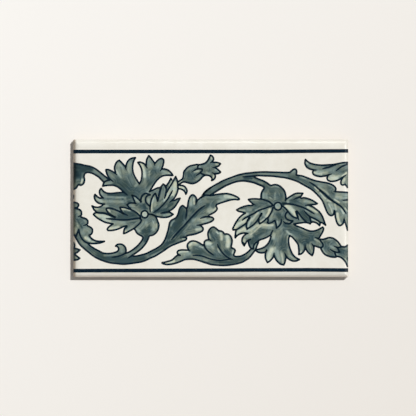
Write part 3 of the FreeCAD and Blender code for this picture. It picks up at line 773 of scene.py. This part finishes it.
    "bosses": """
left_ring: -34.9,-3.6 -35.5,-2.2 -36.85,-1.65 -38.2,-2.2 -38.8,-3.6 -38.2,-5 -36.85,-5.55 -35.5,-5
 -34.9,-3.6
right_ring: 39.1,.85 38.48,2.33 37,2.95 35.52,2.33 34.9,.85 35.52,-.63 37,-1.25 38.48,-.63 39.1,.85
fill: left_ring
fill: right_ring
1.6 3: -36.85,-3.6
1.1 3: 36.9,.9
""",
}

# Wash: its tone where no pass lies, how far a pass spreads in half widths and how sharply it ends, then the
# strength, pitch and length of the brush streaks, and the colour of each whole tone
WASH_TONE = 0.38
PASS_SPREAD = 1.15
PASS_EDGE = 3.0
STREAK_TONE = 0.5
STREAK_PITCH = 0.55
STREAK_LENGTH = 6.0
TONE_SHADES = {-1.0: DEEP, 0.0: SLATE, 1.0: SAGE, 2.0: PALE}

# Wash mesh: how far up and down the face it can lie, how far its points are moved at random, and how far
# they keep from the lines
WASH_REACH = 34
WASH_JITTER = WASH_STEP / 4
WASH_CLEAR = 0.3
WASH_SEED = 7
WELD = 1e-5

# Curves: the turn that parts a line at a sharp tip, and steps too short to count
CORNER_TURN = math.radians(62)
SHORT_STEP = 0.02
TINY = 1e-9


def screen_colour(rgb):
    """A colour given as it looks on screen, 0 to 255, as the linear colour that a shader takes."""
    return (*Color([v / SCREEN_MAX for v in rgb]).from_srgb_to_scene_linear(), 1.0)


def read_points(body):
    """The points of a row, on the tile."""
    points = np.array([[float(v) for v in pair.split(",")] for pair in body.split()])
    return READ_SHIFT + READ_STRETCH * points


def read_drawing(text):
    """A drawing's lines as {name: (width, points)}, its patches as lists of names, and its brush passes."""
    lines = {}
    patches = []
    passes = []
    for row in text.strip().replace("\n ", " ").split("\n"):
        head, body = row.split(":")
        first, *width = head.split()
        if first == "fill":
            patches.append(body.split())
        elif first.isidentifier():
            lines[first] = (float(width[0]) if width else 1.0, read_points(body))
        else:
            passes.append((float(first), float(width[0]), read_points(body)))
    return lines, patches, passes


def smooth_run(points, step):
    """Points a step apart on the Catmull-Rom curve through the given points, from the first to the last."""
    if len(points) == 2:
        count = max(2, int(np.linalg.norm(points[1] - points[0]) / step) + 1)
        return np.linspace(points[0], points[1], count)
    ends = np.vstack([2 * points[0] - points[1], points, 2 * points[-1] - points[-2]])
    curve = []
    for a, b, c, d in zip(ends, ends[1:], ends[2:], ends[3:]):
        count = max(1, int(round(np.linalg.norm(c - b) / step)))
        for i in range(count):
            t = i / count
            curve.append(0.5 * (2 * b + (c - a) * t + (2 * a - 5 * b + 4 * c - d) * t ** 2
                                + (3 * b - a - 3 * c + d) * t ** 3))
    curve.append(points[-1])
    return np.array(curve)


def smooth_runs(points, step):
    """The line's smooth stretches, parted at its sharp tips."""
    turns = [0]
    for i in range(1, len(points) - 1):
        before = points[i] - points[i - 1]
        after = points[i + 1] - points[i]
        turn = np.arctan2(before[0] * after[1] - before[1] * after[0], before @ after)
        if abs(turn) > CORNER_TURN:
            turns.append(i)
    turns.append(len(points) - 1)
    return [smooth_run(points[a:b + 1], step) for a, b in zip(turns, turns[1:])]


# The tile's own surface, which the paint follows
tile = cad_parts[TILE]
tile_surface = BVHTree.FromPolygons(
    [v.co for v in tile.data.vertices], [p.vertices for p in tile.data.polygons])
low_corner, high_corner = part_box(TILE)
tile_width = high_corner.x - low_corner.x
ABOVE = 2 * high_corner.z
DOWN = Vector((0, 0, -1))


def on_face(points, rises):
    """Points in metres, each at its rise above the tile's face and kept within its ends."""
    placed = []
    for (x, y), rise in zip(points, rises):
        above = Vector((min(max(x, -PAINT_END), PAINT_END) * MM, y * MM, ABOVE))
        hit, normal = tile_surface.ray_cast(above, DOWN)[:2]
        placed.append(tuple(hit + normal * (rise * MM)))
    return placed


def add_object(name, data):
    """An object with this data, linked into the scene."""
    item = bpy.data.objects.new(name, data)
    bpy.context.scene.collection.objects.link(item)
    return item


def make_piece(name, vertices, faces, material):
    """A mesh piece on the tile, with a plan of itself as its map, in the material given."""
    mesh = bpy.data.meshes.new(name)
    mesh.from_pydata(vertices, [], faces)
    mesh.validate()
    plan = mesh.uv_layers.new(name="OFBake")
    for loop in mesh.loops:
        x, y, _ = mesh.vertices[loop.vertex_index].co
        plan.data[loop.index].uv = ((x - low_corner.x) / tile_width, (y - low_corner.y) / tile_width)
    mesh.materials.append(material)
    piece = add_object(name, mesh)
    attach(piece, "root")
    return piece


# Brush lines: the corners of the flat band of paint along each run, as shares of its half width and of its
# rise or sink, and how its ends are rounded, as shares of the half width
BEAD_ACROSS = (-1.0, 0.0, 1.0, 0.95, -0.95)
BEAD_RISE = (1.0, 1.0, 1.0, -1.0, -1.0)
ROUND_SHARES = np.array([1.0, 0.8, 0.45])
ROUND_LEAST = 0.03


def bead(centre, widths, vertices, faces):
    """Adds a closed bead of paint along the centre line."""
    ahead = np.gradient(centre, axis=0)
    ahead /= np.maximum(np.linalg.norm(ahead, axis=1, keepdims=True), TINY)
    across = np.column_stack([-ahead[:, 1], ahead[:, 0]])
    rises = [LINE_RISE * share if share >= 0 else PAINT_SINK * share for share in BEAD_RISE]
    start = len(vertices)
    ring = len(BEAD_ACROSS)
    for place, side, width in zip(centre, across, widths):
        points = [place + side * (width / 2 * share) for share in BEAD_ACROSS]
        vertices.extend(on_face(points, rises))
    for i in range(len(centre) - 1):
        for j in range(ring):
            a = start + i * ring + j
            b = start + i * ring + (j + 1) % ring
            faces.append((a, a + ring, b + ring, b))
    faces.append(tuple(start + j for j in range(ring)))
    last = start + (len(centre) - 1) * ring
    faces.append(tuple(last + j for j in reversed(range(ring))))


def run_on(end, before, reach):
    """Points that carry a line on past its end, each as far as its reach."""
    step = end - before
    return end + step / np.linalg.norm(step) * reach[:, None]


def round_ends(centre, width):
    """The centre line with its ends run out, and the widths that round them."""
    reach = width / 2 * ROUND_SHARES
    first = run_on(centre[0], centre[1], reach)
    last = run_on(centre[-1], centre[-2], reach)
    bulge = np.sqrt(np.maximum(1 - ROUND_SHARES ** 2, ROUND_LEAST))
    return np.vstack([first, centre, last[::-1]]), bulge


def runs_out(place, run, tree, marks):
    """Whether an end of a run lies clear of every other line and of the tile's ends."""
    own = marks[tree.find((*run[len(run) // 2], 0))[1]][0]
    near = tree.find_range((*place, 0), TOUCH)
    within = abs(place[0]) < PAINT_END - END_MARGIN
    return within and all(marks[index][0] == own for _, index, _ in near)


def taper(distance):
    """The share of a line's width at each distance from an end where it runs out."""
    return FREE_END_WIDTH + (1 - FREE_END_WIDTH) * distance / TAPER_LENGTH


def draw_line(points, width, tree, marks, vertices, faces):
    """A brush line: beads along its smooth runs, thinner where the line runs out."""
    runs = smooth_runs(points, LINE_STEP)
    for i, run in enumerate(runs):
        run = run[np.abs(run[:, 0]) < PAINT_END]
        if len(run) < 2:
            continue
        lengths = np.concatenate([[0], np.cumsum(np.linalg.norm(np.diff(run, axis=0), axis=1))])
        thin = np.ones(len(run))
        if i == 0 and runs_out(run[0], run, tree, marks):
            thin = np.minimum(thin, taper(lengths))
        if i == len(runs) - 1 and runs_out(run[-1], run, tree, marks):
            thin = np.minimum(thin, taper(lengths[-1] - lengths))
        widths = width * thin
        centre, bulge = round_ends(run, min(widths[0], widths[-1]))
        widths = np.concatenate([widths[0] * bulge, widths, widths[-1] * bulge[::-1]])
        bead(centre, widths, vertices, faces)


def loop_of(lines, names):
    """The closed outline that the named lines make, end to end."""
    stretches = []
    for name in names:
        points = lines[name.lstrip("-")][1]
        curve = np.vstack(smooth_runs(points, LINE_STEP))
        stretches.append(curve[::-1] if name.startswith("-") else curve)
    outline = np.vstack(stretches)
    outline[:, 0] = np.clip(outline[:, 0], -PAINT_END, PAINT_END)
    gap = np.linalg.norm(outline - np.roll(outline, 1, axis=0), axis=1)
    return outline[gap > SHORT_STEP]


def inside(points, outline):
    """Which of the points the outline winds round."""
    x, y = points.T
    winding = np.zeros(len(points), int)
    for (ax, ay), (bx, by) in zip(outline, np.roll(outline, -1, axis=0)):
        side = (bx - ax) * (y - ay) - (x - ax) * (by - ay)
        winding += (ay <= y) & (by > y) & (side > 0)
        winding -= (ay > y) & (by <= y) & (side < 0)
    return winding != 0


def line_tree(drawings):
    """A search tree of every line's points, with the line of each and how far along it lies."""
    samples = []
    marks = []
    for lines, _, _ in drawings:
        for width, points in lines.values():
            if not width:
                continue
            for run in smooth_runs(points, LINE_STEP):
                for i, place in enumerate(run):
                    samples.append(place)
                    marks.append((len(marks) - i, i * LINE_STEP))
    tree = KDTree(len(samples))
    for i, place in enumerate(samples):
        tree.insert((*place, 0), i)
    tree.balance()
    return tree, marks


def path_distance(points, path):
    """How far each point lies from a path."""
    nearest = np.linalg.norm(points - path[0], axis=1)
    for a, b in zip(path, path[1:]):
        along = np.clip((points - a) @ (b - a) / ((b - a) @ (b - a)), 0, 1)
        nearest = np.minimum(nearest, np.linalg.norm(points - a - along[:, None] * (b - a), axis=1))
    return nearest


def wash_tones(points, passes, tree, marks):
    """How pale a wash is at each point: its passes in turn, then streaks along the nearest line."""
    tones = np.full(len(points), WASH_TONE)
    for tone, half_width, path in passes:
        reach = PASS_SPREAD * half_width
        tones += (tone - tones) * np.exp(-(path_distance(points, path) / reach) ** PASS_EDGE)
    for i, place in enumerate(points):
        _, index, distance = tree.find((*place, 0))
        line, along = marks[index]
        streak = noise.noise((distance / STREAK_PITCH, along / STREAK_LENGTH, line * STREAK_LENGTH))
        tones[i] += STREAK_TONE * streak
    return tones


def tone_colours(tones):
    """The wash's colour at each tone."""
    shades = np.array([screen_colour(rgb) for rgb in TONE_SHADES.values()])
    return np.column_stack([np.interp(tones, list(TONE_SHADES), channel) for channel in shades.T])


def grid_inside(outlines, tree):
    """Points about a step apart, moved a little at random, inside the outlines and clear of the lines."""
    random = np.random.default_rng(WASH_SEED)
    across = np.arange(-PAINT_END, PAINT_END, WASH_STEP)
    up = np.arange(-WASH_REACH, WASH_REACH, WASH_STEP)
    columns, rows = np.meshgrid(across, up)
    grid = np.column_stack([columns.ravel(), rows.ravel()])
    grid += random.uniform(-WASH_JITTER, WASH_JITTER, grid.shape)
    covered = np.any([inside(grid, outline) for outline in outlines], axis=0)
    return [place for place in grid[covered] if tree.find((*place, 0))[2] > WASH_CLEAR]


def flat_wash(outlines, tree):
    """A flat mesh over the outlines, with edges along them: its points, and the corners of its triangles."""
    points = []
    edges = []
    for outline in outlines:
        start = len(points)
        points.extend(outline)
        edges.extend((start + i, start + (i + 1) % len(outline)) for i in range(len(outline)))
    points.extend(grid_inside(outlines, tree))
    flat, _, triangles = delaunay_2d_cdt([Vector(p) for p in points], edges, [], 0, WELD)[:3]
    return np.array([tuple(p) for p in flat]), np.array([tuple(t) for t in triangles])


def lay_wash(drawings, tree, marks, material):
    """Each drawing's patches of wash as one thin coat, with its colour held at each corner."""
    patches = [(i, loop_of(lines, names)) for i, (lines, fills, _) in enumerate(drawings) for names in fills]
    flat, corners = flat_wash([outline for _, outline in patches], tree)
    centres = flat[corners].mean(axis=1)
    owner = np.full(len(corners), -1)
    for i, outline in patches:
        owner[inside(centres, outline)] = i
    for i, (name, (_, _, passes)) in enumerate(zip(DRAWINGS, drawings)):
        used, faces = np.unique(corners[owner == i], return_inverse=True)
        faces = faces.reshape(-1, 3)
        places = flat[used]
        vertices = on_face(places, [WASH_RISE] * len(places))
        coat = make_piece(name + "_wash", vertices, faces.tolist(), material)
        shades = tone_colours(wash_tones(places, passes, tree, marks))
        colours = coat.data.color_attributes.new("wash", "FLOAT_COLOR", "CORNER")
        colours.data.foreach_set("color", shades[faces].ravel())
        thick = coat.modifiers.new("coat", "SOLIDIFY")
        thick.thickness = (WASH_RISE + PAINT_SINK) * MM
        thick.offset = -1


# Gloss: how rough the glaze is, how much it and the paints shine, and its faint ripple
GLAZE_GLOSS = 0.16
GLAZE_SHINE = 0.3
LINE_SHINE = 0.1
WASH_SHINE = 0.12
RIPPLE_SCALE = 220.0
RIPPLE_STRENGTH = 0.12
RIPPLE_DEPTH = 0.0002

# Rims: how far in from the left and lower edges, which face away from the light, the painted shade reaches,
# and over what width that fades, in metres
LEFT_RIM = 0.0022
LOWER_RIM = 0.0016
RIM_WIDTH = 0.0016
PAINTED_RIM_SHADES = (("X", low_corner.x + LEFT_RIM, PAINTED_LEFT_SHADE), ("Y", low_corner.y + LOWER_RIM, PAINTED_LOWER_SHADE))

# Foot of the glaze: the height at which it starts, over what height, and how far that wavers, in metres
GLAZE_FOOT = 0.0040
GLAZE_FADE = 0.0006
FOOT_WAVER = 0.0006
BODY_ROUGHNESS = 0.85

# Noise in the glaze, the body and the paints: its scale, detail and roughness, the range of it that counts,
# and how much of the second colour it brings where that isn't all
FOOT_NOISE = (90.0,)
FOOT_RANGE = (0.3, 0.7)
CLOUD_NOISE = (60.0, 8.0, 0.75)
CLOUD_RANGE = (0.35, 0.65)
SPECK_NOISE = (2600.0, 1.0)
SPECK_RANGE = (0.76, 0.8)
SPECK_SHARE = 0.35
GRAIN_NOISE = (1500.0, 4.0)
GRAIN_RANGE = (0.3, 0.7)
THIN_NOISE = (900.0,)
THIN_RANGE = (0.45, 0.8)
MOTTLE_NOISE = (900.0, 4.0)
MOTTLE_RANGE = (0.5, 0.85)
MOTTLE_SHARE = 0.3
HUE_NOISE = (260.0, 2.0)
HUE_RANGE = (0.35, 0.65)

# Floor: its half side and the reach of its painted shade, in tile widths, and its dull surface
FLOOR_REACH = 8
SHADE_REACH = 1.5
FLOOR_ROUGHNESS = 0.9
FLOOR_SHINE = 0.1


class Nodes:
    """A material's node tree, with short calls to add nodes and join them."""

    def __init__(self, name):
        self.material = bpy.data.materials.new(name)
        self.material.use_nodes = True
        self.tree = self.material.node_tree
        self.shader = self.tree.nodes["Principled BSDF"]
        self.place = self.add("ShaderNodeTexCoord").outputs["Object"]

    def add(self, kind, inputs=None, **settings):
        node = self.tree.nodes.new(kind)
        for key, value in settings.items():
            setattr(node, key, value)
        self.feed(node, inputs or {})
        return node

    def feed(self, node, inputs):
        for key, value in inputs.items():
            self.join(value, node.inputs[key])

    def join(self, value, socket):
        if isinstance(value, bpy.types.NodeSocket):
            self.tree.links.new(value, socket)
        else:
            socket.default_value = value

    def sides(self):
        """The place's X, Y and Z."""
        return self.add("ShaderNodeSeparateXYZ", {"Vector": self.place}).outputs

    def mix(self, factor, first, second, blend="MIX"):
        node = self.add("ShaderNodeMix", data_type="RGBA", blend_type=blend)
        for key, value in (("Factor_Float", factor), ("A_Color", first), ("B_Color", second)):
            self.join(value, next(s for s in node.inputs if s.identifier == key))
        return next(s for s in node.outputs if s.identifier == "Result_Color")

    def noise(self, scale, detail=3.0, roughness=0.5):
        inputs = {"Vector": self.place, "Scale": scale, "Detail": detail, "Roughness": roughness}
        return self.add("ShaderNodeTexNoise", inputs).outputs["Fac"]

    def ramp(self, value, low, high, to_low=0.0, to_high=1.0, kind="SMOOTHSTEP"):
        inputs = {"Value": value, "From Min": low, "From Max": high, "To Min": to_low, "To Max": to_high}
        return self.add("ShaderNodeMapRange", inputs, interpolation_type=kind).outputs["Result"]

    def shade_rims(self, colour):
        """The colour darkened along the left and lower rims as painted shade, where they face away from the
        light.
        """
        sides = self.sides()
        for axis, start, shade in PAINTED_RIM_SHADES:
            rim = self.ramp(sides[axis], start - RIM_WIDTH, start, 1.0, 0.0)
            colour = self.mix(rim, colour, screen_colour(shade), "MULTIPLY")
        return colour

    def surface(self, colour, roughness, shine):
        """The material with this surface."""
        self.feed(self.shader, {"Base Color": colour, "Roughness": roughness, "Specular IOR Level": shine})
        return self.material

    def glossy(self, colour, shine, roughness=GLAZE_GLOSS):
        """The material with this colour under the glaze's gloss, which ripples a little."""
        ripple = {"Height": self.noise(RIPPLE_SCALE), "Strength": RIPPLE_STRENGTH, "Distance": RIPPLE_DEPTH}
        self.feed(self.shader, {"Normal": self.add("ShaderNodeBump", ripple).outputs["Normal"]})
        return self.surface(colour, roughness, shine)


def glaze_material():
    """Cream glaze on the face and the upper sides, with painted shade on its left and lower rims, running
    out on a bare biscuit body below.
    """
    n = Nodes("cream_glaze")
    waver = n.ramp(n.noise(*FOOT_NOISE), *FOOT_RANGE, -FOOT_WAVER, FOOT_WAVER)
    height = n.add("ShaderNodeMath", {0: n.sides()["Z"], 1: waver}, operation="ADD").outputs[0]
    glazed = n.ramp(height, GLAZE_FOOT, GLAZE_FOOT + GLAZE_FADE)
    cloud = n.ramp(n.noise(*CLOUD_NOISE), *CLOUD_RANGE)
    cream = n.mix(cloud, screen_colour(CREAM_DARK), screen_colour(CREAM_PALE))
    speck = n.ramp(n.noise(*SPECK_NOISE), *SPECK_RANGE)
    cream = n.mix(n.ramp(speck, 0.0, 1.0, 0.0, SPECK_SHARE), cream, screen_colour(SPECK))
    grain = n.ramp(n.noise(*GRAIN_NOISE), *GRAIN_RANGE)
    body = n.mix(grain, screen_colour(BISCUIT_DARK), screen_colour(BISCUIT))
    roughness = n.ramp(glazed, 0.0, 1.0, BODY_ROUGHNESS, GLAZE_GLOSS)
    return n.glossy(n.mix(glazed, body, n.shade_rims(cream)), GLAZE_SHINE, roughness)


def line_material():
    """Navy line paint under the gloss, a little thinner here and there."""
    n = Nodes("navy_line")
    thin = n.ramp(n.noise(*THIN_NOISE), *THIN_RANGE)
    return n.glossy(n.mix(thin, screen_colour(NAVY), screen_colour(THIN_NAVY)), LINE_SHINE)


def wash_material():
    """Slate green wash, mottled by the brush, with painted shade on the left and lower rims, under the
    gloss.
    """
    n = Nodes("slate_wash")
    paint = n.add("ShaderNodeAttribute", attribute_name="wash").outputs["Color"]
    mottle = n.ramp(n.noise(*MOTTLE_NOISE), *MOTTLE_RANGE, 0.0, MOTTLE_SHARE)
    hue = n.ramp(n.noise(*HUE_NOISE), *HUE_RANGE)
    tint = n.mix(hue, COOL_TINT + (1.0,), WARM_TINT + (1.0,))
    paint = n.mix(1.0, n.mix(mottle, paint, screen_colour(SLATE)), tint, "MULTIPLY")
    return n.glossy(n.shade_rims(paint), WASH_SHINE)


def paint_tile():
    """Every painted piece on the tile's face."""
    navy = line_material()
    drawings = [read_drawing(text) for text in DRAWINGS.values()]
    tree, marks = line_tree(drawings)
    lay_wash(drawings, tree, marks, wash_material())
    for name, (lines, _, _) in zip(DRAWINGS, drawings):
        vertices = []
        faces = []
        for width, points in lines.values():
            if width:
                draw_line(points, width * LINE_WIDTH, tree, marks, vertices, faces)
        make_piece(name + "_outline", vertices, faces, navy)
    for name, points in BORDER_LINES.items():
        vertices = []
        faces = []
        run = smooth_run(np.array(points), LINE_STEP)
        bead(run, [BORDER_LINE_WIDTH] * len(run), vertices, faces)
        make_piece(name, vertices, faces, navy)


def make_stage():
    """A pale floor that takes the tile's shadow, painted darker towards the lower right as a fall-off of
    light.
    """
    side = FLOOR_REACH * tile_width
    mesh = bpy.data.meshes.new("floor")
    corners = [(-side, -side, 0), (side, -side, 0), (side, side, 0), (-side, side, 0)]
    mesh.from_pydata(corners, [], [(0, 1, 2, 3)])
    floor = add_object("floor", mesh)
    n = Nodes("floor_paper")
    sides = n.sides()
    across = n.add("ShaderNodeMath", {0: sides["X"], 1: sides["Y"]}, operation="SUBTRACT").outputs[0]
    reach = SHADE_REACH * tile_width
    # Painted shade: the floor darkens from the upper left towards the lower right
    shade = n.ramp(across, -reach, reach, kind="LINEAR")
    paper = n.mix(shade, screen_colour(FLOOR_UPPER_LEFT), screen_colour(FLOOR_LOWER_RIGHT))
    mesh.materials.append(n.surface(paper, FLOOR_ROUGHNESS, FLOOR_SHINE))


def make_light():
    """A sun from the upper right and an even sky, together at the level where colours look as written."""
    sun = bpy.data.lights.new("sun", "SUN")
    sun.angle = SUN_WIDTH
    fall = Vector((-SUN_LEAN[0], -SUN_LEAN[1], -1.0)).normalized()
    sun.energy = SUN_SHARE * math.pi / -fall.z
    lamp = add_object("sun", sun)
    lamp.rotation_euler = fall.to_track_quat("-Z", "Y").to_euler()
    card = bpy.data.lights.new("highlight_card", "AREA")
    card.shape = "RECTANGLE"
    card.size, card.size_y = CARD_SIZE
    card.energy = CARD_RADIANCE * math.pi * CARD_SIZE[0] * CARD_SIZE[1]
    level = math.cos(CARD_RISE)
    way = Vector((level, level, math.sqrt(2) * math.sin(CARD_RISE))).normalized()
    board = add_object("highlight_card", card)
    board.location = way * CARD_DISTANCE
    board.rotation_euler = way.to_track_quat("Z", "Y").to_euler()
    board.visible_diffuse = False
    world = bpy.data.worlds.new("sky")
    world.use_nodes = True
    sky = world.node_tree.nodes["Background"]
    sky.inputs["Color"].default_value = SKY_COLOUR
    sky.inputs["Strength"].default_value = SKY_SHARE
    bpy.context.scene.world = world


def make_camera():
    """A camera straight above, as far off as makes the face as wide as in the photograph."""
    pixel = tile_width / FACE_WIDTH_PX
    view_width = pixel * PHOTO_SIDE_PX
    camera = bpy.data.cameras.new("camera")
    camera.lens = LENS_MM
    camera.sensor_width = SENSOR_MM
    eye = add_object("camera", camera)
    eye.location = (
        (PHOTO_SIDE_PX / 2 - FACE_CENTRE_PX[0]) * pixel,
        (FACE_CENTRE_PX[1] - PHOTO_SIDE_PX / 2) * pixel,
        high_corner.z + view_width * LENS_MM / SENSOR_MM,
    )
    bpy.context.scene.camera = eye


tile.data.materials.clear()
tile.data.materials.append(glaze_material())
paint_tile()
make_stage()
make_light()
make_camera()
bpy.context.scene.view_settings.view_transform = "Standard"
